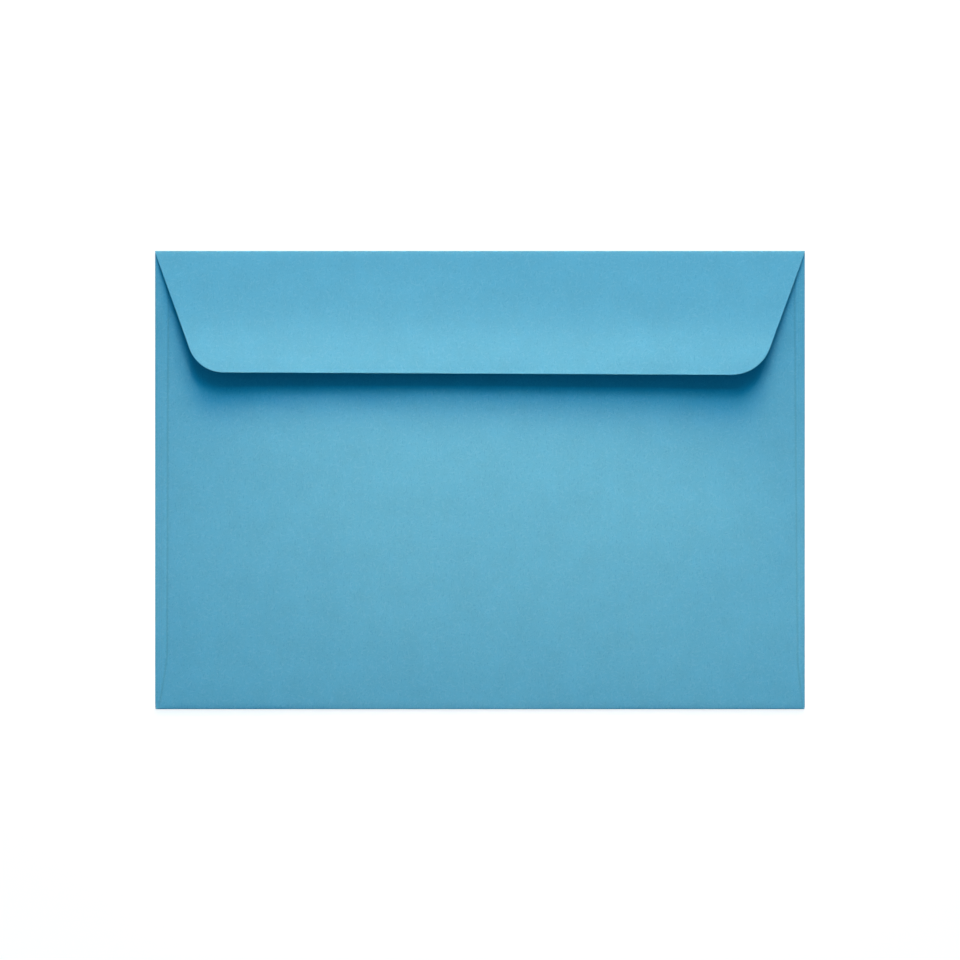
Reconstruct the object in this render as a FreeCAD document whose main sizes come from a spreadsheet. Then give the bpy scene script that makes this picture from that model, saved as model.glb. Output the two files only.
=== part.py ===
import FreeCAD, Part
import math
import os
import Sketcher

# Paper envelope, C6: one blank of paper, folded and glued.
# Frame: millimetres, +Z up, the front panel flat on the table at Z = 0, its middle at the origin.
# Seen from above on the back, +X is to the right and +Y is towards the seal flap's fold.

SIZES = [
    ("envelope_width", 162.0, "side fold to side fold"),
    ("envelope_height", 114.3, "bottom fold to top fold"),
    ("paper", 0.15, "thickness of the paper"),
    ("side_gap", 0.24, "clear height inside a side fold"),
    ("glue_press", 0.02, "depth that the back panel is pressed into the side flaps"),
    ("flap_gap", 0.1, "air between the seal flap and the layers under its fold"),
    ("corner_notch", 0.08, "gap between the folds that meet at a lower corner"),
    ("bow", 1.9, "height that the back panel stands up, as its curves pull it"),
    ("fullness_side", 1.2, "pull next to the side folds, as a share of the bow"),
    ("fullness_foot", 0.75, "pull next to the bottom fold, as a share of the bow"),
    ("fullness_middle", 1.3, "pull on the panel's middle, as a share of the bow"),
    ("fullness_throat", 0.5, "pull near the throat, as a share of the bow"),
    ("fullness_top", 0.1, "share of the bow that is left at the top fold"),
    ("side_flap_width", 19.0, "hidden side flap, from the side fold's inner edge to its cut edge"),
    ("side_flap_taper", 13.0, "how much shorter a side flap's cut edge is at each end"),
    ("seam_left_top", 3.3, "back panel's cut edge from the left fold, at the throat"),
    ("seam_left_low", 3.0, "the same edge from the left fold, where it turns out"),
    ("seam_right_top", 2.6, "back panel's cut edge from the right fold, at the throat"),
    ("seam_right_low", 1.85, "the same edge from the right fold, where it turns out"),
    ("flare_left", 12.8, "height above the bottom fold where the left seam turns out"),
    ("flare_right", 11.5, "height above the bottom fold where the right seam turns out"),
    ("flare_left_end", 1.0, "left seam from the side fold, at the bottom fold"),
    ("flare_right_end", 0.6, "right seam from the side fold, at the bottom fold"),
    ("flare_radius", 20.0, "radius of the bend where a seam turns out"),
    ("throat_depth", 14.0, "top fold down to the back panel's upper edge"),
    ("throat_corner", 4.0, "radius of the back panel's upper corners"),
    ("flap_depth_left", 30.4, "top fold down to the seal flap's free edge, at its left"),
    ("flap_depth_right", 31.0, "top fold down to the seal flap's free edge, at its right"),
    ("flap_slant_left", 19.7, "left side of the seal flap, degrees off the Y axis"),
    ("flap_slant_right", 20.15, "right side of the seal flap, degrees off the Y axis"),
    ("flap_corner_left", 9.0, "radius of the seal flap's left corner"),
    ("flap_corner_right", 10.2, "radius of the seal flap's right corner"),
    ("flap_rise", 7.0, "degrees that the seal flap springs up from its fold"),
    ("flap_kick", 5.0, "further degrees that its lower part rises past the soft break"),
    ("flap_root", 15.0, "length of the seal flap's flat upper part"),
    ("break_radius", 90.0, "inner radius of the soft break"),
    ("flap_lower", 1.5, "length of the flat lower part, up to the curled edge"),
    ("curl_radius", 80.0, "inner radius of the free edge's curl"),
    ("curl", 7.0, "degrees that the free edge curls back down, cut off at the flap's depth"),
]

# Radii, heights and reaches that follow from the stack of layers.
SIDE_INNER = "Sizes.side_gap / 2"
SIDE_OUTER = "(Sizes.side_gap / 2 + Sizes.paper)"
SIDE_FLAP_UNDERSIDE = "(Sizes.side_gap + Sizes.paper)"
PANEL_UNDERSIDE = "(Sizes.side_gap + 2 * Sizes.paper - Sizes.glue_press)"
BOTTOM_INNER = "(Sizes.side_gap + Sizes.paper - Sizes.glue_press) / 2"
BOTTOM_OUTER = "(Sizes.side_gap + 3 * Sizes.paper - Sizes.glue_press) / 2"
TOP_INNER = "(Sizes.side_gap + Sizes.paper + Sizes.flap_gap) / 2"
TOP_OUTER = "(Sizes.side_gap + 3 * Sizes.paper + Sizes.flap_gap) / 2"
SIDE_LINE = f"(Sizes.envelope_width / 2 - {SIDE_OUTER})"
BOTTOM_LINE = f"(Sizes.envelope_height / 2 - {BOTTOM_OUTER})"
TOP_LINE = f"(Sizes.envelope_height / 2 - {TOP_OUTER})"
LEFT = "-Sizes.envelope_width / 2"
RIGHT = "Sizes.envelope_width / 2"
BOTTOM = "-Sizes.envelope_height / 2"
TOP = "Sizes.envelope_height / 2"
# Lengths that reach past every layer, for cuts.
BEYOND = "Sizes.envelope_height"
FAR_BEYOND = "Sizes.envelope_width"

START, END, CENTRE = 1, 2, 3
ORIGIN = (-1, 1)

doc = FreeCAD.newDocument("Envelope")


def make_sizes():
    """Put every driving dimension in a sheet, under its own name."""
    sheet = doc.addObject("Spreadsheet::Sheet", "Sizes")
    for row, (name, size, meaning) in enumerate(SIZES, start=1):
        sheet.set(f"A{row}", meaning)
        sheet.set(f"B{row}", str(size))
        sheet.setAlias(f"B{row}", name)
    doc.recompute()
    return sheet


sizes = make_sizes()


def value(expression):
    """Work out an expression of the sheet's names as a plain number."""
    result = sizes.evalExpression(expression)
    return float(getattr(result, "Value", result))


def bind(sketch, constraint, expression):
    """Add a dimension to a sketch and tie it to the sheet."""
    index = sketch.addConstraint(constraint)
    sketch.setExpression(f"Constraints[{index}]", expression)


def bind_place(sketch, item, end, place, x, y):
    """Hold one point of a sketch at x and y from its origin."""
    bind(sketch, Sketcher.Constraint("DistanceX", *ORIGIN, item, end, place.x), x)
    bind(sketch, Sketcher.Constraint("DistanceY", *ORIGIN, item, end, place.y), y)


def turn_arc(centre, first, last, leftwards):
    """Return the arc from first to last round centre, and which of its ends comes first."""
    begin, finish = (first, last) if leftwards else (last, first)
    angles = [math.atan2(p.y - centre.y, p.x - centre.x) for p in (begin, finish)]
    circle = Part.Circle(centre, FreeCAD.Vector(0, 0, 1), (first - centre).Length)
    arc = Part.ArcOfCircle(circle, *angles)
    return arc, (START, END) if leftwards else (END, START)


def draw_outline(sketch, corners):
    """Draw a closed outline anticlockwise through corners of (x, y, radius or None).

    Each is an expression. A rounded corner may turn either way. Its sharp place stays as a
    construction point that both of its lines pass through.
    """
    count = len(corners)
    places = [FreeCAD.Vector(value(x), value(y), 0) for x, y, radius in corners]
    leave, arrive, arcs, arc_ends, points = list(places), list(places), {}, {}, []
    for i, (x, y, radius) in enumerate(corners):
        points.append(sketch.addGeometry(Part.Point(places[i]), True))
        bind_place(sketch, points[i], START, places[i], x, y)
        if radius is None:
            continue
        back = (places[i - 1] - places[i]).normalize()
        ahead = (places[(i + 1) % count] - places[i]).normalize()
        leftwards = ahead.cross(back).z > 0
        half = back.getAngle(ahead) / 2
        reach = value(radius) / math.tan(half)
        arrive[i] = places[i] + back * reach
        leave[i] = places[i] + ahead * reach
        centre = places[i] + (back + ahead).normalize() * (value(radius) / math.sin(half))
        arc, arc_ends[i] = turn_arc(centre, arrive[i], leave[i], leftwards)
        arcs[i] = sketch.addGeometry(arc)
        bind(sketch, Sketcher.Constraint("Radius", arcs[i], value(radius)), radius)

    for i in range(count):
        after = (i + 1) % count
        line = sketch.addGeometry(Part.LineSegment(leave[i], arrive[after]))
        for end, corner, leaving in ((START, i, True), (END, after, False)):
            if corner not in arcs:
                sketch.addConstraint(
                    Sketcher.Constraint("Coincident", line, end, points[corner], START))
                continue
            begins, stops = arc_ends[corner]
            sketch.addConstraint(Sketcher.Constraint(
                "Tangent", line, end, arcs[corner], stops if leaving else begins))
            sketch.addConstraint(Sketcher.Constraint("PointOnObject", points[corner], START, line))


def draw_strip(sketch, x, y, heading, steps):
    """Draw the section of a sheet of paper that is led along steps from a flat start.

    x and y place the start of its left edge, and heading is 0 or 180 degrees. A step is
    ("bend", inner radius, "left" or "right", heading after it) or ("run", length), each size an
    expression, and the first step is a bend.
    """
    thickness = value("Sizes.paper")
    angle = math.radians(heading)
    direction = FreeCAD.Vector(math.cos(angle), math.sin(angle), 0)
    across = FreeCAD.Vector(-direction.y, direction.x, 0)
    edge = FreeCAD.Vector(value(x), value(y), 0)
    left, right = edge, edge - across * thickness
    cap = sketch.addGeometry(Part.LineSegment(left, right))
    bind_place(sketch, cap, START, left, x, y)
    sketch.addConstraint(Sketcher.Constraint("Vertical", cap))
    ends = {"left": (cap, START), "right": (cap, END)}
    last_bend, centre_of = None, None

    for number, (kind, *step) in enumerate(steps):
        first = number == 0
        items = {}
        if kind == "bend":
            radius, side, heading_after = step
            inner, outer = (("left", "right") if side == "left" else ("right", "left"))
            sign = 1 if side == "left" else -1
            start = {"left": left, "right": right}
            centre = start[inner] + across * (sign * value(radius))
            angle = math.radians(value(heading_after))
            direction = FreeCAD.Vector(math.cos(angle), math.sin(angle), 0)
            across = FreeCAD.Vector(-direction.y, direction.x, 0)
            reach = {inner: value(radius), outer: value(radius) + thickness}
            left, right = (centre - across * (sign * reach[name]) for name in ("left", "right"))
            finish = {"left": left, "right": right}
            for name in ("left", "right"):
                arc, (begins, stops) = turn_arc(centre, start[name], finish[name], side == "left")
                items[name] = (sketch.addGeometry(arc), begins, stops)
            sketch.addConstraint(Sketcher.Constraint(
                "Coincident", items[inner][0], CENTRE, items[outer][0], CENTRE))
            bind(sketch, Sketcher.Constraint("Radius", items[inner][0], reach[inner]), radius)
            if first:
                bind(sketch, Sketcher.Constraint("Radius", items[outer][0], reach[outer]),
                     f"{radius} + Sizes.paper")
                sketch.addConstraint(Sketcher.Constraint(
                    "Vertical", items[inner][0], CENTRE, cap, START))
            last_bend = (items[inner][0], heading_after)
        else:
            length, = step
            start = {"left": left, "right": right}
            left, right = left + direction * value(length), right + direction * value(length)
            finish = {"left": left, "right": right}
            for name in ("left", "right"):
                line = sketch.addGeometry(Part.LineSegment(start[name], finish[name]))
                items[name] = (line, START, END)
            bind(sketch, Sketcher.Constraint("Angle", items["left"][0], angle), last_bend[1])
            bind(sketch, Sketcher.Constraint("Distance", items["left"][0], value(length)), length)
            sketch.addConstraint(Sketcher.Constraint(
                "Parallel", items["left"][0], items["right"][0]))
        join = "Coincident" if first else "Tangent"
        for name in ("left", "right"):
            item, begins, stops = items[name]
            sketch.addConstraint(Sketcher.Constraint(join, *ends[name], item, begins))
            ends[name] = (item, stops)

    close = sketch.addGeometry(Part.LineSegment(left, right))
    sketch.addConstraint(Sketcher.Constraint("Coincident", *ends["left"], close, START))
    sketch.addConstraint(Sketcher.Constraint("Coincident", *ends["right"], close, END))
    sketch.addConstraint(Sketcher.Constraint("PointOnObject", last_bend[0], CENTRE, close))
    bind(sketch, Sketcher.Constraint("Angle", close, angle - math.pi / 2), f"{last_bend[1]} - 90")


def origin_plane(body, role):
    """Return one of a body's own origin planes."""
    return next(plane for plane in body.Origin.OriginFeatures if plane.Role == role)


def add_sketch(body, name, role):
    """Add a sketch to a body, flat on one of its origin planes."""
    sketch = body.newObject("Sketcher::SketchObject", name)
    sketch.AttachmentSupport = [(origin_plane(body, role), "")]
    sketch.MapMode = "FlatFace"
    return sketch


def add_pad(body, sketch, name, length, back=None):
    """Pad a sketch by length along its normal, and by back the other way where that is given."""
    pad = body.newObject("PartDesign::Pad", name)
    pad.Profile = sketch
    pad.setExpression("Length", length)
    if back is not None:
        pad.SideType = "Two sides"
        pad.setExpression("Length2", back)
    doc.recompute()
    return pad


def seal_flap_outline():
    """Return the corners of the seal flap in plan, from its lower left corner anticlockwise."""
    left = f"{LEFT} + Sizes.flap_depth_left * tan(Sizes.flap_slant_left)"
    right = f"{RIGHT} - Sizes.flap_depth_right * tan(Sizes.flap_slant_right)"
    return [
        (left, f"{TOP} - Sizes.flap_depth_left", "Sizes.flap_corner_left"),
        (right, f"{TOP} - Sizes.flap_depth_right", "Sizes.flap_corner_right"),
        (RIGHT, TOP, None),
        (RIGHT, BEYOND, None),
        (LEFT, BEYOND, None),
        (LEFT, TOP, None),
    ]


def rectangle(left, bottom, right, top):
    """Return the corners of a rectangle, anticlockwise."""
    return [(left, bottom, None), (right, bottom, None), (right, top, None), (left, top, None)]


def make_seal_flap(body):
    """Lead the paper round the top fold and down over the back, then cut it to the flap's outline."""
    section = add_sketch(body, "SealFlapSection", "YZ_Plane")
    rise = "180 - Sizes.flap_rise"
    kicked = f"{rise} - Sizes.flap_kick"
    draw_strip(section, TOP_LINE, "Sizes.paper", 0, [
        ("bend", TOP_INNER, "left", rise),
        ("run", "Sizes.flap_root"),
        ("bend", "Sizes.break_radius", "right", kicked),
        ("run", "Sizes.flap_lower"),
        ("bend", "Sizes.curl_radius", "left", f"{kicked} + Sizes.curl"),
    ])
    add_pad(body, section, "SealFlapSheet", RIGHT, RIGHT)

    trim = add_sketch(body, "SealFlapTrim", "XY_Plane")
    draw_outline(trim, rectangle(f"-{FAR_BEYOND}", f"-{FAR_BEYOND}", FAR_BEYOND, FAR_BEYOND))
    draw_outline(trim, seal_flap_outline())
    cut = body.newObject("PartDesign::Pocket", "SealFlapCut")
    cut.Profile = trim
    cut.Reversed = True
    cut.setExpression("Length", BEYOND)
    doc.recompute()
    return section, trim


def make_front(body):
    """Lay the front panel and lead the paper round the side folds and the bottom fold."""
    panel = add_sketch(body, "FrontPanelOutline", "XY_Plane")
    draw_outline(panel, rectangle(f"-{SIDE_LINE}", f"-{BOTTOM_LINE}", SIDE_LINE, TOP_LINE))
    add_pad(body, panel, "FrontPanel", "Sizes.paper")

    sketches = [panel]
    for name, x, y, heading, side, after in (
            ("Left", f"-{SIDE_LINE}", "0", 180, "right", "0"),
            ("Right", SIDE_LINE, "Sizes.paper", 0, "left", "180")):
        section = add_sketch(body, f"{name}FoldSection", "XZ_Plane")
        draw_strip(section, x, y, heading, [("bend", SIDE_INNER, side, after)])
        add_pad(body, section, f"{name}Fold", BOTTOM_LINE, f"{TOP_LINE} - Sizes.corner_notch")
        sketches.append(section)

    section = add_sketch(body, "BottomFoldSection", "YZ_Plane")
    draw_strip(section, f"-{BOTTOM_LINE}", "0", 180, [("bend", BOTTOM_INNER, "right", "0")])
    reach = f"{SIDE_LINE} - Sizes.corner_notch"
    add_pad(body, section, "BottomFold", reach, reach)
    return sketches + [section]


def bulged_sheet(name, underside):
    """Make the sheet that lies over the whole pocket and bulges by the bow between its folds.

    Its underside is one smooth patch with a curve from side to side and one from the bottom fold
    to the top fold. The fullness of each place pulls its curve up.
    """
    side, bottom, top = value(SIDE_LINE), value(BOTTOM_LINE), value(TOP_LINE)
    beside, foot, middle, throat, fold = (
        value(f"Sizes.fullness_{place}") for place in ("side", "foot", "middle", "throat", "top"))
    across = (0.0, beside, 1.0, 1.0, beside, 0.0)
    along = (0.0, foot, middle, middle, throat, fold)
    patch = Part.BezierSurface()
    patch.increase(len(across) - 1, len(along) - 1)
    for i, share_across in enumerate(across):
        for j, share_along in enumerate(along):
            place = FreeCAD.Vector(
                side * (2 * i / (len(across) - 1) - 1),
                -bottom + (top + bottom) * j / (len(along) - 1),
                value(underside) + value("Sizes.bow") * share_across * share_along)
            patch.setPole(i + 1, j + 1, place)
    sheet = doc.addObject("Part::Feature", name)
    sheet.Shape = patch.toShape().extrude(FreeCAD.Vector(0, 0, value("Sizes.paper")))
    return sheet


def cut_from(sheet, name, corners):
    """Cut a layer from a bulged sheet by its outline in plan."""
    outline = doc.addObject("Sketcher::SketchObject", f"{name}Outline")
    draw_outline(outline, corners)
    prism = doc.addObject("Part::Extrusion", f"{name}Prism")
    prism.Base = outline
    prism.DirMode = "Custom"
    prism.Dir = FreeCAD.Vector(0, 0, 1)
    prism.Solid = True
    prism.setExpression("LengthFwd", BEYOND)
    layer = doc.addObject("Part::Common", name)
    layer.Base = sheet
    layer.Tool = prism
    doc.recompute()
    return layer, outline


def side_flap_outline(line, inwards):
    """Return the corners of a side flap that starts on a side fold's line."""
    edge = f"{line} {inwards} Sizes.side_flap_width"
    low = f"-{BOTTOM_LINE} + Sizes.corner_notch"
    high = f"{TOP_LINE} - Sizes.corner_notch"
    corners = [(line, low, None), (edge, f"{low} + Sizes.side_flap_taper", None),
               (edge, f"{high} - Sizes.side_flap_taper", None), (line, high, None)]
    return corners if inwards == "+" else corners[::-1]


def back_panel_outline():
    """Return the corners of the back panel, which flares out below its seams."""
    foot = f"-{BOTTOM_LINE}"
    throat = f"{TOP} - Sizes.throat_depth"
    return [
        (f"{LEFT} + Sizes.flare_left_end", foot, None),
        (f"{RIGHT} - Sizes.flare_right_end", foot, None),
        (f"{RIGHT} - Sizes.seam_right_low", f"{BOTTOM} + Sizes.flare_right", "Sizes.flare_radius"),
        (f"{RIGHT} - Sizes.seam_right_top", throat, "Sizes.throat_corner"),
        (f"{LEFT} + Sizes.seam_left_top", throat, "Sizes.throat_corner"),
        (f"{LEFT} + Sizes.seam_left_low", f"{BOTTOM} + Sizes.flare_left", "Sizes.flare_radius"),
    ]


blank = doc.addObject("PartDesign::Body", "Blank")
sketches = [*make_seal_flap(blank), *make_front(blank)]
flap_sheet = bulged_sheet("SideFlapSheet", SIDE_FLAP_UNDERSIDE)
panel_sheet = bulged_sheet("BackPanelSheet", PANEL_UNDERSIDE)
layers = [blank]
for name, sheet, corners in (
        ("LeftFlap", flap_sheet, side_flap_outline(f"-{SIDE_LINE}", "+")),
        ("RightFlap", flap_sheet, side_flap_outline(SIDE_LINE, "-")),
        ("BackPanel", panel_sheet, back_panel_outline())):
    layer, outline = cut_from(sheet, name, corners)
    layers.append(layer)
    sketches.append(outline)

envelope = doc.addObject("Part::MultiFuse", "Envelope")
envelope.Label = "envelope"
envelope.Shapes = layers
doc.recompute()

for item in doc.Objects:
    faults = [word for word in item.State if word in ("Invalid", "Error")]
    if faults:
        raise RuntimeError(f"{item.Name} is {faults}")
for sketch in sketches:
    if not sketch.FullyConstrained:
        raise RuntimeError(f"{sketch.Name} isn't fully constrained")
for layer in (*layers, envelope):
    if layer.Shape.isNull() or not layer.Shape.isValid():
        raise RuntimeError(f"{layer.Label} has no valid shape")
if len(envelope.Shape.Solids) != 1:
    raise RuntimeError(f"the layers make {len(envelope.Shape.Solids)} solids and not one")

os.makedirs("parts", exist_ok=True)
envelope.Shape.exportStep(os.path.join("parts", f"{envelope.Label}.step"))
box = envelope.Shape.BoundBox
print(f"{envelope.Label}: {box.XLength:.2f} x {box.YLength:.2f} x {box.ZLength:.2f} mm, "
      f"{envelope.Shape.Volume / 1000:.3f} cm3, {len(envelope.Shape.Faces)} faces")
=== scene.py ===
import math

import bpy
import numpy as np
from bpy.props import FloatProperty, FloatVectorProperty, PointerProperty
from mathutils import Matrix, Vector


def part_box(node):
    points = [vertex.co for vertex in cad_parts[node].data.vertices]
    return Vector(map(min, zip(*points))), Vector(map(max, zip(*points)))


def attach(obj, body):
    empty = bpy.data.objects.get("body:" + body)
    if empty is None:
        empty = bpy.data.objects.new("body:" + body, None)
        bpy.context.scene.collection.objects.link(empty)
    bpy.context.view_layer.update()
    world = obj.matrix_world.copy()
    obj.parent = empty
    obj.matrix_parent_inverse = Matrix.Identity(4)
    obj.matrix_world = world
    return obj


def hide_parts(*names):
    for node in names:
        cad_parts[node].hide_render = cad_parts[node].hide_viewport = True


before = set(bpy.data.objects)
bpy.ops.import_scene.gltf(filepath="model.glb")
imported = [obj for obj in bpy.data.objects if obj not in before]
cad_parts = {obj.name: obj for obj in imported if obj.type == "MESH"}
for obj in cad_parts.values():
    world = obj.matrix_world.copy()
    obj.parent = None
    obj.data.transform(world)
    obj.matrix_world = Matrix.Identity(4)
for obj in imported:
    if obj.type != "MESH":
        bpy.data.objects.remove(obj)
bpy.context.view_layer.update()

bl_info = {
    "name": "Paper Envelope",
    "version": (1, 0, 0),
    "blender": (4, 5, 0),
    "location": "View3D > Sidebar > Envelope",
    "description": "Folds a paper envelope from one blank and sets it on a pale stage",
    "category": "Add Mesh",
}

MM = 0.001
NODE = "envelope"
CAD_LOW, CAD_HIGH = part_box(NODE)


def linear(hex_colour):
    """Turn an sRGB hex colour into Blender's linear one."""
    channels = (int(hex_colour[i:i + 2], 16) / 255 for i in (1, 3, 5))
    return tuple(c / 12.92 if c <= 0.04045 else ((c + 0.055) / 1.055) ** 2.4 for c in channels)


def distance(name, millimetres, description):
    """A length that a user can set."""
    return FloatProperty(name=name, description=description, default=millimetres * MM, min=0.0,
                         precision=5, subtype="DISTANCE", unit="LENGTH")


def angle(name, degrees, description):
    """An angle that a user can set."""
    return FloatProperty(name=name, description=description, default=math.radians(degrees),
                         subtype="ANGLE", unit="ROTATION")


def share(name, amount, description):
    """A plain factor that a user can set."""
    return FloatProperty(name=name, description=description, default=amount, min=0.0)


def colour(name, hex_colour, description):
    """A colour that a user can set."""
    return FloatVectorProperty(name=name, description=description, default=linear(hex_colour),
                               size=3, min=0.0, max=1.0, subtype="COLOR")


class EnvelopeSizes(bpy.types.PropertyGroup):
    """Sizes of the folded sheet. The outer ones come from the CAD part's box in model.glb."""

    width: distance("Width", (CAD_HIGH.x - CAD_LOW.x) / MM, "Side fold to side fold")
    height: distance("Height", (CAD_HIGH.y - CAD_LOW.y) / MM, "Bottom fold to top fold")
    paper: distance("Paper", 0.15, "Thickness of the paper")
    side_gap: distance("Side gap", 0.24, "Clear height inside a side fold")
    flap_gap: distance("Flap gap", 0.1, "Air between the seal flap and the layers under its fold")
    corner_notch: distance("Corner notch", 0.08, "Gap between the folds that meet at a corner")
    bow: distance("Bow", 1.9, "Height that the back panel stands up at its fullest")
    fullness_side: share("Side fullness", 1.2, "Pull of the panel next to its side folds")
    fullness_foot: share("Foot fullness", 0.75, "Pull of the panel next to its bottom fold")
    fullness_middle: share("Middle fullness", 1.3, "Pull of the panel's middle")
    fullness_throat: share("Throat fullness", 0.5, "Pull of the panel towards its throat")
    fullness_top: share("Top fullness", 0.1, "Share of the bow left at the top fold")
    side_flap: distance("Side flap", 19.0, "Width of a hidden side flap")
    side_taper: distance("Side flap taper", 13.0, "How much shorter its cut edge is at an end")
    seam_left_top: distance("Left seam, top", 3.3, "Cut edge from the left fold, at the throat")
    seam_left_low: distance("Left seam, low", 3.0, "Cut edge from the left fold, at the flare")
    seam_right_top: distance("Right seam, top", 2.6, "Cut edge from the right fold, at the throat")
    seam_right_low: distance("Right seam, low", 1.85, "Cut edge from the right fold, at the flare")
    flare_left: distance("Left flare", 12.8, "Height where the left seam turns out")
    flare_right: distance("Right flare", 11.5, "Height where the right seam turns out")
    flare_left_end: distance("Left flare end", 1.0, "Left seam from the side, at the bottom fold")
    flare_right_end: distance("Right flare end", 0.6,
                              "Right seam from the side, at the bottom fold")
    flare_radius: distance("Flare radius", 20.0, "Radius at which a seam turns out")
    throat_depth: distance("Throat depth", 14.0, "Top fold to the back panel's upper edge")
    throat_corner: distance("Throat corner", 4.0, "Radius of the back panel's upper corners")
    flap_depth_left: distance("Flap depth, left", 30.4, "Top fold to the free edge, at the left")
    flap_depth_right: distance("Flap depth, right", 31.0, "Top fold to the free edge, at the right")
    flap_slant_left: angle("Flap slant, left", 19.7, "Left side of the flap off the Y axis")
    flap_slant_right: angle("Flap slant, right", 20.15, "Right side of the flap off the Y axis")
    flap_corner_left: distance("Flap corner, left", 9.0, "Radius of the flap's left corner")
    flap_corner_right: distance("Flap corner, right", 10.2, "Radius of the flap's right corner")
    flap_rise: angle("Flap rise", 7.0, "Angle at which the flap springs up from its fold")
    flap_kick: angle("Flap kick", 5.0, "Further rise past the soft break")
    flap_root: distance("Flap root", 15.0, "Length of the flap's flat upper part")
    break_radius: distance("Break radius", 90.0, "Radius of the soft break")
    flap_lower: distance("Flap lower part", 1.5, "Length of the flat lower part")
    curl_radius: distance("Curl radius", 80.0, "Radius of the free edge's curl")
    curl: angle("Curl", 7.0, "Turn of the free edge's curl")


class EnvelopeColours(bpy.types.PropertyGroup):
    """Colours of the paper and the stage."""

    paper: colour("Paper", "#5EADCC", "The dyed paper")
    fibre: colour("Fibre", "#86C6DE", "Pale fibres in the sheet")
    speck: colour("Speck", "#4A98BD", "Dark specks in the sheet")
    gum: colour("Gum", "#4F9CC0", "The dried gum inside the seal flap")
    stage: colour("Stage", "#FFFFFF", "The floor, which the background takes too")
    fill: colour("Fill", "#1C7890", "The cool light from all around that fills the shadows")
    key: colour("Key", "#FFD1AC", "The warm key light")
    sky: colour("Sky", "#2ED1F5", "The cool daylight above it")


# The blank's grid, from one line of points to the next.
PITCH = 1.5 * MM
FOLD_STEPS = 10
CORNER_STEPS = 14
# Further grid lines beside a cut edge, and over the glued strip that shows outside a seam.
EDGE_LINES = np.array((0.15, 0.35, 0.7)) * MM
STRIP_SHARES = (0, 0.2, 0.4, 0.55, 0.68, 0.78, 0.86, 0.92, 0.96, 1)
# Where the back panel's cut edge is nowhere near.
FAR = 20 * MM
# Points this near to each other on the blank are one.
WELD = 0.001 * MM


class FoldedSheet:
    """The middle surface of a folded sheet, put together from grids that share their edges.

    Points are welded by their place on the flat blank, so layers that touch stay apart.
    """

    def __init__(self):
        self.places, self.blank, self.faces, self.index = [], [], [], {}
        self.seam, self.fold = [], []

    def add(self, places, blank, seam=FAR, fold=0.0):
        """Add a grid of places, each with its own place on the blank.

        seam is how far a point lies outside the back panel's cut edge, below 0 where the panel
        covers it, and fold is how much painted shade and wear a point takes, 1 on a side fold.
        """
        rows, columns = blank.shape[:2]
        ids = np.empty((rows, columns), int)
        seam, fold = (np.broadcast_to(amount, (rows, columns)) for amount in (seam, fold))
        for i in range(rows):
            for j in range(columns):
                key = tuple(np.round(blank[i, j] / WELD).astype(int))
                if key not in self.index:
                    self.index[key] = len(self.places)
                    self.places.append(places[i, j])
                    self.blank.append(blank[i, j])
                    self.seam.append(seam[i, j])
                    self.fold.append(fold[i, j])
                ids[i, j] = self.index[key]
        for i in range(rows - 1):
            for j in range(columns - 1):
                face = [ids[i, j], ids[i, j + 1], ids[i + 1, j + 1], ids[i + 1, j]]
                u, v = np.array([self.blank[k] for k in face]).T
                turned = np.dot(u, np.roll(v, -1)) - np.dot(v, np.roll(u, -1))
                self.faces.append(face[::-1] if turned > 0 else face)


def grid(left, right, shares):
    """Rule rows from each left point to its right point, with columns at the shares."""
    left, right = np.asarray(left, float), np.asarray(right, float)
    return left[:, None] + (right - left)[:, None] * np.asarray(shares)[None, :, None]


def steps(first, last, pitch=PITCH):
    """Even steps from first to last, each no longer than pitch."""
    return np.linspace(first, last, max(2, int(math.ceil(abs(last - first) / pitch)) + 1))


def side_path(corners):
    """Lead a line through corners of (x, y, radius), with an arc at each that has a radius."""
    path = []
    for i, (x, y, radius) in enumerate(corners):
        place = np.array((x, y))
        if not radius or i in (0, len(corners) - 1):
            path.append(place)
            continue
        back = np.array(corners[i - 1][:2]) - place
        ahead = np.array(corners[i + 1][:2]) - place
        back, ahead = back / np.linalg.norm(back), ahead / np.linalg.norm(ahead)
        half = math.acos(np.dot(back, ahead)) / 2
        centre = place + (back + ahead) / np.linalg.norm(back + ahead) * radius / math.sin(half)
        first, last = (place + way * radius / math.tan(half) - centre for way in (back, ahead))
        turn = math.pi - 2 * half
        for share_of_turn in np.linspace(0, 1, CORNER_STEPS):
            path.append(centre + (first * math.sin(turn * (1 - share_of_turn))
                                  + last * math.sin(turn * share_of_turn)) / math.sin(turn))
    return np.array(path)


def refine(left, right):
    """Add points to two paired paths until no step of either is longer than the pitch."""
    rows_left, rows_right = [left[0]], [right[0]]
    for a, b, c, d in zip(left[:-1], left[1:], right[:-1], right[1:]):
        longest = max(np.linalg.norm(b - a), np.linalg.norm(d - c))
        count = max(1, int(math.ceil(longest / PITCH)))
        for k in range(1, count + 1):
            rows_left.append(a + (b - a) * k / count)
            rows_right.append(c + (d - c) * k / count)
    return np.array(rows_left), np.array(rows_right)


class Folds:
    """Radii and lines that follow from the stack of layers, for the paper's middle surface."""

    def __init__(self, sizes):
        self.half = sizes.paper / 2
        self.side = sizes.side_gap / 2 + self.half
        self.bottom = (sizes.side_gap + sizes.paper) / 2 + self.half
        self.top = (sizes.side_gap + sizes.paper + sizes.flap_gap) / 2 + self.half
        self.side_line = sizes.width / 2 - self.side - self.half
        self.bottom_line = -(sizes.height / 2 - self.bottom - self.half)
        self.top_line = sizes.height / 2 - self.top - self.half
        self.high_y = self.top_line - sizes.corner_notch
        self.foot_x = self.side_line - sizes.corner_notch


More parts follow.
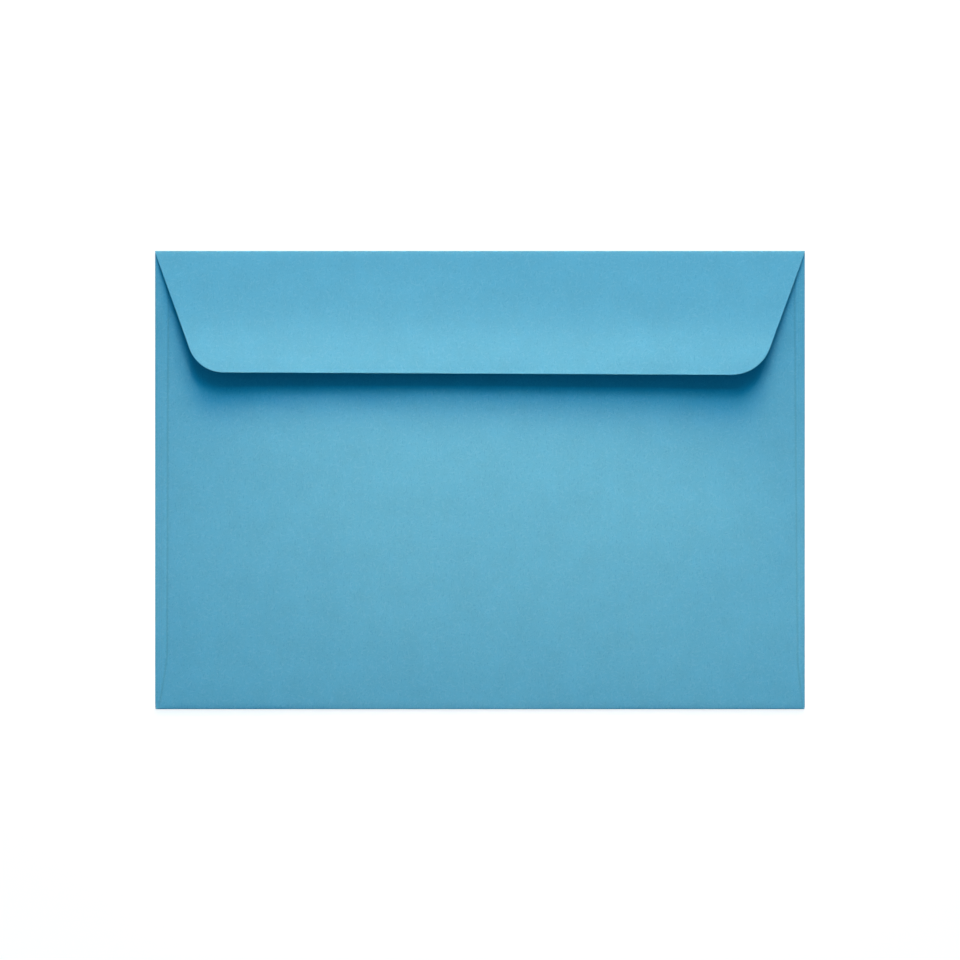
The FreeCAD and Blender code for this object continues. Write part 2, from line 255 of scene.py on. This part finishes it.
# Waves of the paper, each as height, length, way and start: a few hundredths of a millimetre.
COCKLE = (
    (0.030 * MM, 47 * MM, 0.3, 0.4),
    (0.024 * MM, 31 * MM, 1.9, 2.1),
    (0.016 * MM, 19 * MM, 1.1, 4.0),
    (0.012 * MM, 14 * MM, 2.6, 1.3),
)
COCKLE_FADE = 12 * MM
# The panel's slack: how deep, and where it starts, how long it takes and how it runs askew.
SLACK = 0.5 * MM
SLACK_START = -6 * MM
SLACK_LENGTH = 26 * MM
SLACK_SKEW = 0.18
SLACK_FADE = 20 * MM
# The seal flap's waves run the other way, so that they don't repeat the panel's.
FLAP_WAVES = -1
# Relief of the pressed glue line outside a seam, with the place and width of each form, and the
# ridge's share of the groove's depth. It grows over this share of the strip next to the side fold.
SEAM_RELIEF = 0.06 * MM
SEAM_GROOVE = (0.0, 0.3 * MM)
SEAM_RIDGE = (0.65 * MM, 0.25 * MM)
RIDGE_SHARE = 0.5
RELIEF_GROWTH = 0.5


def pulled(part, pulls):
    """Follow a smooth curve that each pull draws towards itself in turn, at a part of its run."""
    degree = len(pulls) - 1
    return sum(math.comb(degree, i) * (1 - part) ** (degree - i) * part ** i * pull
               for i, pull in enumerate(pulls))


def bulge(sizes, folds, x, y):
    """Height of the back above its folds: it bows from side to side and from end to end."""
    across = pulled((x / folds.side_line + 1) / 2,
                    (0, sizes.fullness_side, 1, 1, sizes.fullness_side, 0))
    along = pulled((y - folds.bottom_line) / (folds.top_line - folds.bottom_line),
                   (0, sizes.fullness_foot, sizes.fullness_middle, sizes.fullness_middle,
                    sizes.fullness_throat, sizes.fullness_top))
    return sizes.bow * across * along + cockle(folds, x, y) - slack(folds, x, y)


def smooth(part):
    """Ease from 0 to 1 as the part goes from 0 to 1."""
    part = np.clip(part, 0, 1)
    return part ** 2 * (3 - 2 * part)


def inset(folds, x, y, fade):
    """Rise from 0 at the folds to 1 at the fade's length inside them."""
    return smooth((folds.side_line - abs(x)) / fade) * smooth((folds.top_line - abs(y)) / fade)


def slack(folds, x, y):
    """How far the panel drops past its middle, towards the throat where no fold holds it up."""
    part = (y + SLACK_SKEW * x - SLACK_START) / SLACK_LENGTH
    return SLACK * smooth(part) * inset(folds, x, y, SLACK_FADE)


def cockle(folds, x, y):
    """The faint waves of paper that has dried unevenly, which die out towards the folds."""
    waves = 0
    for height, length, way, start in COCKLE:
        along = (x * math.cos(way) + y * math.sin(way)) / length
        waves = waves + height * np.sin(2 * math.pi * along + start)
    return waves * inset(folds, x, y, COCKLE_FADE)


def beside_seam(reach):
    """Height of the glued strip outside a seam: a groove along the cut edge, then a low ridge."""
    groove, ridge = (np.exp(-((reach - at) / width) ** 2)
                     for at, width in (SEAM_GROOVE, SEAM_RIDGE))
    return SEAM_RELIEF * (RIDGE_SHARE * ridge - groove)


def flap_section(sizes, folds):
    """Walk the seal flap's middle surface. Return rows of y, z and the length walked."""
    place, heading, walked = np.array((folds.top_line, folds.half)), 0.0, 0.0
    rows = [(*place, walked)]
    moves = [
        ("bend", folds.top, math.pi - sizes.flap_rise),
        ("run", sizes.flap_root),
        ("bend", -(sizes.break_radius + folds.half), sizes.flap_kick),
        ("run", sizes.flap_lower),
        ("bend", sizes.curl_radius + folds.half, sizes.curl),
    ]
    for kind, reach, *turn in moves:
        if kind == "run":
            place = place + reach * np.array((math.cos(heading), math.sin(heading)))
            walked += reach
            rows.append((*place, walked))
            continue
        side = math.copysign(1, reach)
        centre = place + reach * np.array((-math.sin(heading), math.cos(heading)))
        for k in range(1, FOLD_STEPS + 1):
            now = heading + side * turn[0] * k / FOLD_STEPS
            spot = centre - reach * np.array((-math.sin(now), math.cos(now)))
            rows.append((*spot, walked + abs(reach) * turn[0] * k / FOLD_STEPS))
        place, heading, walked = spot, now, rows[-1][2]
    return np.array(rows)


def columns_of(folds):
    """The grid's lines across the sheet, with the folds' and the notches' own lines among them."""
    inner = steps(-folds.foot_x, folds.foot_x)
    near_edge = folds.foot_x - EDGE_LINES
    inner = np.unique(np.concatenate((inner, near_edge, -near_edge)))
    return np.concatenate(([-folds.side_line], inner, [folds.side_line]))


def rows_of(folds):
    """The grid's lines up the sheet, with the notch's own line among them."""
    return np.concatenate((steps(folds.bottom_line, folds.high_y), [folds.top_line]))


def add_front(sheet, folds):
    """The front panel, flat on the table."""
    x, y = np.meshgrid(columns_of(folds), rows_of(folds))
    sheet.add(np.dstack((x, y, np.full_like(x, folds.half))), np.dstack((x, y)))


def seam_path(sizes, folds, sign):
    """Lead the back panel's cut edge from the bottom fold up to the middle of the throat."""
    if sign < 0:
        foot, low, high, flare = (sizes.flare_left_end, sizes.seam_left_low, sizes.seam_left_top,
                                  sizes.flare_left)
    else:
        foot, low, high, flare = (sizes.flare_right_end, sizes.seam_right_low,
                                  sizes.seam_right_top, sizes.flare_right)
    throat = sizes.height / 2 - sizes.throat_depth
    return side_path([
        (sign * (sizes.width / 2 - foot), folds.bottom_line, 0),
        (sign * (sizes.width / 2 - low), flare - sizes.height / 2, sizes.flare_radius),
        (sign * (sizes.width / 2 - high), throat, sizes.throat_corner),
        (0, throat, 0),
    ])[:-1]


def add_side(sheet, sizes, folds, sign):
    """A side fold and the glue flap behind it. sign is -1 at the left and 1 at the right."""
    y = rows_of(folds)[:-1]
    path = seam_path(sizes, folds, sign)[:-CORNER_STEPS + 1]
    strip = folds.side_line - np.interp(y, path[:, 1], abs(path[:, 0]))
    turn = np.linspace(0, math.pi, FOLD_STEPS + 1)
    angles, rows = np.meshgrid(turn, y)
    x = sign * (folds.side_line + folds.side * np.sin(angles))
    z = folds.half + folds.side * (1 - np.cos(angles))
    # Painted shade and wear along the side fold.
    sheet.add(np.dstack((x, rows, z)),
              np.dstack((sign * (folds.side_line + folds.side * angles), rows)),
              seam=strip[:, None], fold=np.sin(angles))

    low, high = folds.bottom_line + sizes.side_taper, folds.high_y - sizes.side_taper
    part = (y - folds.bottom_line) / (folds.high_y - folds.bottom_line)
    fold_line = np.stack((np.zeros_like(y), y), axis=1)
    seam_line = np.stack((strip, y), axis=1)
    cut_edge = np.stack((np.full_like(y, sizes.side_flap), low + (high - low) * part), axis=1)
    for first, last, shares in ((fold_line, seam_line, STRIP_SHARES),
                                (seam_line, cut_edge, steps(0, 1, PITCH / sizes.side_flap))):
        flat = grid(first, last, shares)
        seam = strip[:, None] - flat[..., 0]
        x, y_flat = sign * (folds.side_line - flat[..., 0]), flat[..., 1]
        z = folds.half + 2 * folds.side + bulge(sizes, folds, x, y_flat)
        shown = np.clip(flat[..., 0] / (RELIEF_GROWTH * strip[:, None]), 0, 1)
        z = z + np.where(seam >= 0, beside_seam(seam) * shown, 0)
        reach = folds.side_line + folds.side * math.pi + flat[..., 0]
        sheet.add(np.dstack((x, y_flat, z)), np.dstack((sign * reach, y_flat)), seam=seam)


# The bottom fold widens over the side folds' ends and narrows again, at these shares of its turn,
# and stops this short of the sides.
CREST_TURN = (0, 0.25, 0.6, 1)
CREST_INSET = 0.02 * MM
# Painted shade and wear of these folds, where that of the side folds is 1: the top fold gets the
# most.
BOTTOM_FOLD_SHADE_AND_WEAR = 0.2
TOP_FOLD_SHADE_AND_WEAR = 3.0


def add_back(sheet, sizes, folds):
    """The bottom fold and the back panel above it, up to the throat."""
    columns = columns_of(folds)[1:-1]
    shares = (columns + folds.foot_x) / (2 * folds.foot_x)
    paths = [seam_path(sizes, folds, sign) for sign in (-1, 1)]
    turn = np.linspace(0, math.pi, FOLD_STEPS + 1)
    part = turn / math.pi
    ends = []
    for sign, path in zip((-1, 1), paths):
        crest = sign * (sizes.width / 2 - CREST_INSET)
        ends.append(np.interp(part, CREST_TURN, (sign * folds.foot_x, crest, crest, path[0, 0])))
    flat = grid(*(np.stack((x, turn), axis=1) for x in ends), shares)
    x, angles = flat[..., 0], flat[..., 1]
    y = folds.bottom_line - folds.bottom * np.sin(angles)
    z = folds.half + folds.bottom * (1 - np.cos(angles))
    # Painted shade and wear along the bottom fold.
    sheet.add(np.dstack((x, y, z)), np.dstack((x, folds.bottom_line - folds.bottom * angles)),
              fold=BOTTOM_FOLD_SHADE_AND_WEAR * np.sin(angles))

    flat = grid(*refine(*paths), shares)
    x, y = flat[..., 0], flat[..., 1]
    z = folds.half + 2 * folds.bottom + bulge(sizes, folds, x, y)
    reach = folds.bottom_line - folds.bottom * math.pi - (y - folds.bottom_line)
    inside = np.minimum(x - x[:, :1], x[:, -1:] - x)
    sheet.add(np.dstack((x, y, z)), np.dstack((x, reach)), seam=-inside)


def add_seal_flap(sheet, sizes, folds):
    """The top fold and the seal flap, which springs up from it and kicks up again lower down."""
    columns = np.concatenate(([-sizes.width / 2], columns_of(folds), [sizes.width / 2]))
    shares = (columns + sizes.width / 2) / sizes.width
    section = flap_section(sizes, folds)
    fold, leaf = section[:FOLD_STEPS + 1], section[FOLD_STEPS:]
    y = np.repeat(fold[:, :1], len(columns), axis=1)
    z = np.repeat(fold[:, 1:2], len(columns), axis=1)
    walked = np.repeat(fold[:, 2:], len(columns), axis=1)
    x = np.repeat(columns[None], len(fold), axis=0)
    # Painted shade and wear along the top fold.
    fold_shade_and_wear = TOP_FOLD_SHADE_AND_WEAR * np.sin(np.linspace(0, math.pi, len(fold)))[:, None]
    sheet.add(np.dstack((x, y, z)), np.dstack((x, folds.top_line + walked)), fold=fold_shade_and_wear)

    edge, crest = sizes.height / 2, leaf[0, 0]
    paths = []
    for sign, depth, slant, radius in (
            (-1, sizes.flap_depth_left, sizes.flap_slant_left, sizes.flap_corner_left),
            (1, sizes.flap_depth_right, sizes.flap_slant_right, sizes.flap_corner_right)):
        corner = sign * (sizes.width / 2 - depth * math.tan(slant))
        paths.append(side_path([
            (sign * sizes.width / 2, crest, 0),
            (corner, edge - depth, radius),
            (0, edge - depth, 0),
        ])[:-1])
    flat = grid(*refine(*paths), shares)
    x, y = flat[..., 0], flat[..., 1]
    z = np.interp(-y, -leaf[:, 0], leaf[:, 1]) + cockle(folds, x, FLAP_WAVES * y)
    walked = np.interp(-y, -leaf[:, 0], leaf[:, 2])
    sheet.add(np.dstack((x, y, z)), np.dstack((x, folds.top_line + walked)))


def thicken(sheet, half):
    """Give the middle surface the paper's thickness.

    Return the points, the faces, the points' places on the blank and their amounts by name.
    """
    places, faces = np.array(sheet.places), np.array(sheet.faces)
    corners = places[faces]
    face_normals = np.cross(corners[:, 2] - corners[:, 0], corners[:, 3] - corners[:, 1])
    normals = np.zeros_like(places)
    for k in range(4):
        np.add.at(normals, faces[:, k], face_normals)
    normals /= np.linalg.norm(normals, axis=1)[:, None]
    count = len(places)

    edges = {}
    for face in faces:
        for a, b in zip(face, np.roll(face, -1)):
            edges[(a, b)] = True
    rim = [(a, b) for a, b in edges if (b, a) not in edges]
    walls = [(b, a, a + count, b + count) for a, b in rim]
    points = np.concatenate((places + normals * half, places - normals * half))
    all_faces = [tuple(map(int, f)) for f in (*faces, *(faces[:, ::-1] + count), *walls)]
    blank = np.tile(np.array(sheet.blank), (2, 1))
    amounts = {"inner_face": np.repeat((0.0, 1.0), count), "to_seam": np.tile(sheet.seam, 2),
               "fold": np.tile(sheet.fold, 2)}
    return points, all_faces, blank, amounts


def add_node(tree, kind, settings=None, **inputs):
    """Add a node, set its properties, and set or link its inputs.

    An input is named, or given as _ and its number. Return the node's first output, if any.
    """
    node = tree.nodes.new(kind)
    for name, setting in (settings or {}).items():
        setattr(node, name, setting)
    for name, amount in inputs.items():
        place = int(name[1:]) if name[1:].isdigit() else name.replace("_", " ")
        if isinstance(amount, bpy.types.NodeSocket):
            tree.links.new(amount, node.inputs[place])
        else:
            node.inputs[place].default_value = amount
    return next((socket for socket in node.outputs if socket.enabled), None)


def combine(tree, operation, *amounts):
    """Do arithmetic on values and sockets."""
    return add_node(tree, "ShaderNodeMath", {"operation": operation},
                    **{f"_{i}": amount for i, amount in enumerate(amounts)})


def clouds(tree, blank, size, detail=2.0):
    """Soft noise over the flat blank, whose clouds are about size across."""
    return add_node(tree, "ShaderNodeTexNoise", {"noise_dimensions": "2D"}, Vector=blank,
                    Scale=1.0 / size, Detail=detail)


def ramp(tree, amount, low, high, first=0.0, last=1.0):
    """Go smoothly from first to last while the amount goes from low to high."""
    return add_node(tree, "ShaderNodeMapRange", {"interpolation_type": "SMOOTHSTEP"}, Value=amount,
                    From_Min=low, From_Max=high, To_Min=first, To_Max=last)


# The noise that strokes are cut from, in a space where each is 1 by 1. Its middle value, how far
# its highest peaks lie above it, and how softly a stroke ends.
STROKE_NOISE = {"Scale": 1.0, "Detail": 1.0, "Roughness": 0.4, "Distortion": 0.5}
STROKE_MIDDLE = 0.5
STROKE_SPREAD = 0.2
STROKE_SOFTNESS = 0.05


def strokes(tree, blank, length, width, turn, cover):
    """Short strokes of about length by width that lie one way and cover that share of the sheet."""
    turned = add_node(tree, "ShaderNodeMapping", {"vector_type": "TEXTURE"}, Vector=blank,
                      Location=(length * turn, width * turn, 0), Rotation=(0, 0, turn),
                      Scale=(length, width, 1))
    field = add_node(tree, "ShaderNodeTexNoise", {"noise_dimensions": "2D"}, Vector=turned,
                     **STROKE_NOISE)
    edge = STROKE_MIDDLE + STROKE_SPREAD * (1 - 2 * cover)
    return ramp(tree, field, edge, edge + STROKE_SOFTNESS)


# Formation: the pulp's clouds in the sheet, as size and depth of tone.
FORMATION = ((7.0 * MM, 0.11), (2.4 * MM, 0.06), (0.8 * MM, 0.035))
# Tooth of the uncoated surface, with its noise's detail. The real one, near 0.05 mm, is too fine
# to show, so it is drawn coarser.
TOOTH = 0.35 * MM
TOOTH_DETAIL = 3.0
BUMP_STRENGTH = 0.22
BUMP_HEIGHT = 0.02 * MM
# Pulp fibres, as their turns, their share of the sheet, how much their colour shows, and how high
# they stand in the tooth. The real ones, near 0.03 by 1.5 mm, are too thin to show, so they are
# drawn wider.
FIBRE_TURNS = (0.4, 1.3, 2.2, 2.9)
FIBRE_LENGTH = 1.7 * MM
FIBRE_WIDTH = 0.32 * MM
FIBRE_COVER = 0.04
FIBRE_SHOW = 0.22
FIBRE_HEIGHT = 0.3
# Specks of darker pulp, each as length, width and turn, with their share of the sheet and how much
# their colour shows.
SPECKS = ((1.2 * MM, 0.28 * MM, 1.6), (0.5 * MM, 0.4 * MM, 2.6))
SPECK_COVER = 0.03
SPECK_SHOW = 0.45
# Half the width of the painted shade along the cut edge, and where the painted highlight on the
# ridge outside it starts, is palest and ends. Each changes the tone by its depth.
SEAM_SHADE_HALF_WIDTH = 0.42 * MM
SEAM_SHADE_DEPTH = -0.13
SEAM_HIGHLIGHT = (0.3 * MM, 0.5 * MM, 0.9 * MM)
SEAM_HIGHLIGHT_DEPTH = 0.05
# Folds get painted shade this deep, and are rubbed pale where clouds of this size pass from and
# to these values.
FOLD_SHADE_DEPTH = -0.16
RUBBED_SIZE = 1.3 * MM
RUBBED_RANGE = (0.5, 0.7)
RUBBED_DEPTH = 0.16
# Painted light and shade of the lines that the folding rollers press into the paper beside a side
# fold.
ROLLER_PITCH = 0.5 * MM
ROLLER_REACH = 1.9 * MM
ROLLER_SHADING_DEPTH = 0.04
# The surface's roughness, from and to, as clouds of this size pass from and to these values.
ROUGH_SIZE = 2.4 * MM
ROUGH_RANGE = (0.3, 0.7)
ROUGHNESS = (0.68, 0.8)
# The refractive index of paper's cellulose and size.
PAPER_IOR = 1.5

# The gummed band inside the seal flap: its width, how far it stays from the free edge and the
# sides, how softly it ends at each, how much its colour shows, and how much smoother it is.
GUM_WIDTH = 13 * MM
GUM_MARGIN = 3 * MM
GUM_INSET = 15 * MM
GUM_FADE = 0.5 * MM
GUM_SIDE_FADE = 1.0 * MM
GUM_SHOW = 0.8
GUM_ROUGHNESS = -0.35


def beside_fold(tree, blank, fold_reach):
    """Draw the painted light and shade of the folding rollers' faint lines, from -1 to 1, next to
    each side fold.
    """
    across = combine(tree, "ABSOLUTE", add_node(tree, "ShaderNodeSeparateXYZ", Vector=blank))
    past = combine(tree, "SUBTRACT", across, fold_reach)
    lines = combine(tree, "SINE", combine(tree, "MULTIPLY", past, 2 * math.pi / ROLLER_PITCH))
    near = combine(tree, "MULTIPLY", ramp(tree, past, 0.0, ROLLER_PITCH),
                   ramp(tree, past, ROLLER_REACH - ROLLER_PITCH, ROLLER_REACH, 1, 0))
    return combine(tree, "MULTIPLY", lines, near)


def gummed(tree, blank, inner, gum):
    """Mark the dried gum on the seal flap's inner face. gum is its half length, start and end."""
    half_length, start, end = gum
    place = add_node(tree, "ShaderNodeSeparateXYZ", Vector=blank).node
    along, up = place.outputs["X"], place.outputs["Y"]
    within = ramp(tree, combine(tree, "ABSOLUTE", along), half_length - GUM_SIDE_FADE, half_length,
                  1, 0)
    band = combine(tree, "MULTIPLY", ramp(tree, up, start, start + GUM_FADE),
                   ramp(tree, up, end - GUM_FADE, end, 1, 0))
    return combine(tree, "MULTIPLY", combine(tree, "MULTIPLY", within, band), inner)


def make_paper(colours, fold_reach, gum):
    """Dyed, uncoated wood-free paper, made on a wire and calendered lightly.

    It is matt, with cloudy formation, short pale fibres and darker specks and a fine tooth. Painted
    shade lies along the glued seams' cut edges, with a painted highlight just outside, and along
    the folds, where the dye is also rubbed paler. The rollers' lines beside the side folds are
    painted light and shade.
    """
    material = bpy.data.materials.new("uncoated_dyed_paper")
    material.use_nodes = True
    tree = material.node_tree
    tree.nodes.clear()
    blank = add_node(tree, "ShaderNodeUVMap", {"uv_map": "blank"})
    inner, to_seam, fold = (
        add_node(tree, "ShaderNodeAttribute", {"attribute_name": name}).node.outputs["Fac"]
        for name in ("inner_face", "to_seam", "fold"))
    # The two faces of the sheet have their own clouds.
    place = add_node(tree, "ShaderNodeVectorMath", {"operation": "ADD"}, _0=blank,
                     _1=add_node(tree, "ShaderNodeCombineXYZ", X=inner))

    tone = 1.0
    for size, depth in FORMATION:
        tone = combine(tree, "MULTIPLY_ADD", clouds(tree, place, size), depth,
                       combine(tree, "SUBTRACT", tone, depth / 2))
    pale = 0.0
    for turn in FIBRE_TURNS:
        pale = combine(tree, "MAXIMUM", pale,
                       strokes(tree, place, FIBRE_LENGTH, FIBRE_WIDTH, turn, FIBRE_COVER))
    dark = 0.0
    for length, width, turn in SPECKS:
        dark = combine(tree, "MAXIMUM", dark,
                       strokes(tree, place, length, width, turn, SPECK_COVER))
    # Painted shade along the back panel's cut edge, and a painted highlight on the ridge just
    # outside it.
    seam_shade = ramp(tree, combine(tree, "ABSOLUTE", to_seam), 0.0, SEAM_SHADE_HALF_WIDTH, 1, 0)
    start, top, end = SEAM_HIGHLIGHT
    ridge = combine(tree, "MULTIPLY", ramp(tree, to_seam, start, top),
                    ramp(tree, to_seam, top, end, 1, 0))
    rubbed = ramp(tree, clouds(tree, place, RUBBED_SIZE), *RUBBED_RANGE)
    # The painted shade of the seams and the folds, the painted highlight beside the seams, the
    # folds' rubbed wear and the painted light and shade of the rollers' lines change the tone.
    for amount, depth in ((seam_shade, SEAM_SHADE_DEPTH), (ridge, SEAM_HIGHLIGHT_DEPTH), (fold, FOLD_SHADE_DEPTH),
                          (combine(tree, "MULTIPLY", fold, rubbed), RUBBED_DEPTH),
                          (beside_fold(tree, blank, fold_reach), ROLLER_SHADING_DEPTH)):
        tone = combine(tree, "MULTIPLY_ADD", amount, depth, tone)

    gum_film = gummed(tree, blank, inner, gum)
    dyed = add_node(tree, "ShaderNodeVectorMath", {"operation": "SCALE"}, _0=colours.paper,
                    Scale=tone)
    for mask, shown, other in ((pale, FIBRE_SHOW, colours.fibre), (dark, SPECK_SHOW, colours.speck),
                               (gum_film, GUM_SHOW, colours.gum)):
        dyed = add_node(tree, "ShaderNodeMix", {"data_type": "RGBA"}, _6=dyed, _7=(*other, 1.0),
                        _0=combine(tree, "MULTIPLY", mask, shown))

    height = combine(tree, "MULTIPLY_ADD", pale, FIBRE_HEIGHT,
                     clouds(tree, place, TOOTH, TOOTH_DETAIL))
    bump = add_node(tree, "ShaderNodeBump", Strength=BUMP_STRENGTH, Distance=BUMP_HEIGHT,
                    Height=height)
    rough = ramp(tree, clouds(tree, place, ROUGH_SIZE), *ROUGH_RANGE, *ROUGHNESS)
    rough = combine(tree, "MULTIPLY_ADD", gum_film, GUM_ROUGHNESS, rough)
    shader = add_node(tree, "ShaderNodeBsdfPrincipled", Base_Color=dyed, Roughness=rough,
                      IOR=PAPER_IOR, Normal=bump)
    add_node(tree, "ShaderNodeOutputMaterial", Surface=shader)
    return material


# Edges sharper than this are shaded as edges: the paper's cut ones.
SHARP_ANGLE = 50


class EnvelopeFold(bpy.types.Operator):
    """Fold the envelope's blank and give it its paper"""

    bl_idname = "envelope.fold"
    bl_label = "Fold the Envelope"

    def execute(self, context):
        sizes, colours = context.scene.envelope_sizes, context.scene.envelope_colours
        folds = Folds(sizes)
        sheet = FoldedSheet()
        add_front(sheet, folds)
        for sign in (-1, 1):
            add_side(sheet, sizes, folds, sign)
        add_back(sheet, sizes, folds)
        add_seal_flap(sheet, sizes, folds)
        points, faces, blank, amounts = thicken(sheet, folds.half)

        mesh = bpy.data.meshes.new("envelope_sheet")
        mesh.from_pydata(points.tolist(), [], faces)
        layer = mesh.uv_layers.new(name="blank")
        corners = np.array([loop.vertex_index for loop in mesh.loops])
        layer.uv.foreach_set("vector", blank[corners].astype(np.float32).ravel())
        for name, amount in amounts.items():
            attribute = mesh.attributes.new(name, "FLOAT", "POINT")
            attribute.data.foreach_set("value", amount.astype(np.float32))
        mesh.shade_smooth()
        mesh.set_sharp_from_angle(angle=math.radians(SHARP_ANGLE))
        fold_reach = folds.side_line + math.pi * folds.side
        gum_end = blank[:, 1].max() - GUM_MARGIN
        gum = (sizes.width / 2 - GUM_INSET, gum_end - GUM_WIDTH, gum_end)
        mesh.materials.append(make_paper(colours, fold_reach, gum))
        piece = bpy.data.objects.new("envelope_sheet", mesh)
        context.scene.collection.objects.link(piece)
        if mesh.validate():
            raise RuntimeError("the sheet's mesh had faults")
        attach(piece, "root")
        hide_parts(NODE)
        return {"FINISHED"}


# Softboxes one above the other beyond the top fold, as (elevation, watts): a warm key light low
# down, and cool daylight above it. Together they light the paper white.
KEY_BANK = ((13, 12.4), (18, 15.2), (23, 13.4))
SKY_BANK = ((30, 1.9), (35, 7.4), (41, 1.7), (48, 4.4))
BOX_REACH = 1.6
BOX_SIZE = (1.0, 0.2)
# Strip lights behind honeycomb grids: their narrow beams fall off around the pocket's middle, as
# (elevation, watts, spread, width, the place that they are aimed at).
GRID_BANK = (
    (31, 0.0104, 9, 0.26, (0.004, -0.019, 0)),
    (31, 0.0092, 13, 0.17, (0.004, -0.027, 0)),
    (38, 0.0104, 16, 0.13, (0.004, -0.034, 0)),
)
GRID_REACH = 0.45
GRID_DEPTH = 0.03
# All of them stand this far to the right of the top fold's middle, in degrees.
LAMP_TURN = 4.0


def add_lamp(context, name, tint, elevation, watts, reach, size, spread=180, aim=(0, 0, 0)):
    """Hang a soft lamp of (width, height) that faces its aim from the top fold's side."""
    light = bpy.data.lights.new(name, "AREA")
    light.shape = "RECTANGLE"
    light.size, light.size_y = size
    light.color = tint
    light.energy = watts
    light.spread = math.radians(spread)
    lamp = bpy.data.objects.new(name, light)
    rise, turn = math.radians(elevation), math.radians(LAMP_TURN)
    way = Vector((math.cos(rise) * math.sin(turn), math.cos(rise) * math.cos(turn), math.sin(rise)))
    lamp.location = Vector(aim) + reach * way
    lamp.rotation_euler = (-way).to_track_quat("-Z", "Y").to_euler()
    lamp.visible_camera = False
    context.scene.collection.objects.link(lamp)


# The floor lies just under the table's height and reaches past the horizon of a low view. What a
# camera or a gloss sees of it is this much plain glow, and a fainter tone that still takes the
# object's shadow.
FLOOR_DROP = 0.05 * MM
FLOOR_REACH = 30.0
FLOOR_TONE = 0.8
FLOOR_SEEN = 0.3
FLOOR_GLOW = 0.87
# The camera's height, its sensor, and the share of the picture's width that the envelope takes.
CAMERA_HEIGHT = 1.6
CAMERA_SENSOR = 36.0
PICTURE_SHARE = 0.67658


class EnvelopeStage(bpy.types.Operator):
    """Lay the pale floor, hang the lamps and set the camera straight above"""

    bl_idname = "envelope.stage"
    bl_label = "Set the Stage"

    def execute(self, context):
        scene, colours = context.scene, context.scene.envelope_colours
        mesh = bpy.data.meshes.new("floor")
        corners = [(x * FLOOR_REACH, y * FLOOR_REACH, 0)
                   for x, y in ((-1, -1), (1, -1), (1, 1), (-1, 1))]
        mesh.from_pydata(corners, [], [(0, 1, 2, 3)])
        floor = bpy.data.objects.new("floor", mesh)
        floor.location.z = -FLOOR_DROP
        scene.collection.objects.link(floor)
        material = bpy.data.materials.new("pale_floor")
        material.use_nodes = True
        tree = material.node_tree
        tree.nodes.clear()
        rays = add_node(tree, "ShaderNodeLightPath").node
        seen = combine(tree, "MAXIMUM", rays.outputs["Is Camera Ray"],
                       combine(tree, "MAXIMUM", rays.outputs["Is Glossy Ray"],
                               rays.outputs["Is Transmission Ray"]))
        level = combine(tree, "MULTIPLY_ADD", seen, FLOOR_SEEN - FLOOR_TONE, FLOOR_TONE)
        tone = add_node(tree, "ShaderNodeVectorMath", {"operation": "SCALE"}, _0=colours.stage,
                        Scale=level)
        glow = add_node(tree, "ShaderNodeEmission", Color=(*colours.stage, 1),
                        Strength=combine(tree, "MULTIPLY", seen, FLOOR_GLOW))
        paint = add_node(tree, "ShaderNodeBsdfDiffuse", Color=tone)
        add_node(tree, "ShaderNodeOutputMaterial",
                 Surface=add_node(tree, "ShaderNodeAddShader", _0=paint, _1=glow))
        mesh.materials.append(material)

        world = bpy.data.worlds.new("studio")
        world.use_nodes = True
        world.node_tree.nodes["Background"].inputs["Color"].default_value = (*colours.fill, 1)
        scene.world = world

        for name, bank, tint in (("key", KEY_BANK, colours.key), ("sky", SKY_BANK, colours.sky)):
            for elevation, watts in bank:
                add_lamp(context, f"{name}_{elevation}", tint, elevation, watts, BOX_REACH,
                         BOX_SIZE)
        for elevation, watts, spread, width, aim in GRID_BANK:
            add_lamp(context, f"gridded_strip_{elevation}_{spread}", colours.key, elevation, watts,
                     GRID_REACH, (width, GRID_DEPTH), spread, aim)

        camera_data = bpy.data.cameras.new("camera")
        camera_data.sensor_width = CAMERA_SENSOR
        picture_width = (CAD_HIGH.x - CAD_LOW.x) / PICTURE_SHARE
        camera_data.lens = CAMERA_SENSOR * CAMERA_HEIGHT / picture_width
        camera = bpy.data.objects.new("camera", camera_data)
        camera.location = (0, 0, CAMERA_HEIGHT)
        scene.collection.objects.link(camera)
        scene.camera = camera
        scene.view_settings.view_transform = "Standard"
        return {"FINISHED"}


class EnvelopePanel(bpy.types.Panel):
    """The envelope's steps and sizes in the sidebar"""

    bl_idname = "VIEW3D_PT_envelope"
    bl_label = "Paper Envelope"
    bl_space_type = "VIEW_3D"
    bl_region_type = "UI"
    bl_category = "Envelope"

    def draw(self, context):
        layout = self.layout
        for operator in (EnvelopeFold, EnvelopeStage):
            layout.operator(operator.bl_idname)
        for group in (context.scene.envelope_sizes, context.scene.envelope_colours):
            for name in group.__annotations__:
                layout.prop(group, name)


CLASSES = (EnvelopeSizes, EnvelopeColours, EnvelopeFold, EnvelopeStage, EnvelopePanel)


def register():
    for item in CLASSES:
        bpy.utils.register_class(item)
    bpy.types.Scene.envelope_sizes = PointerProperty(type=EnvelopeSizes)
    bpy.types.Scene.envelope_colours = PointerProperty(type=EnvelopeColours)


def unregister():
    del bpy.types.Scene.envelope_colours
    del bpy.types.Scene.envelope_sizes
    for item in reversed(CLASSES):
        bpy.utils.unregister_class(item)


def main():
    """Build the envelope and its stage."""
    register()
    bpy.ops.envelope.fold()
    bpy.ops.envelope.stage()


if __name__ == "__main__":
    main()
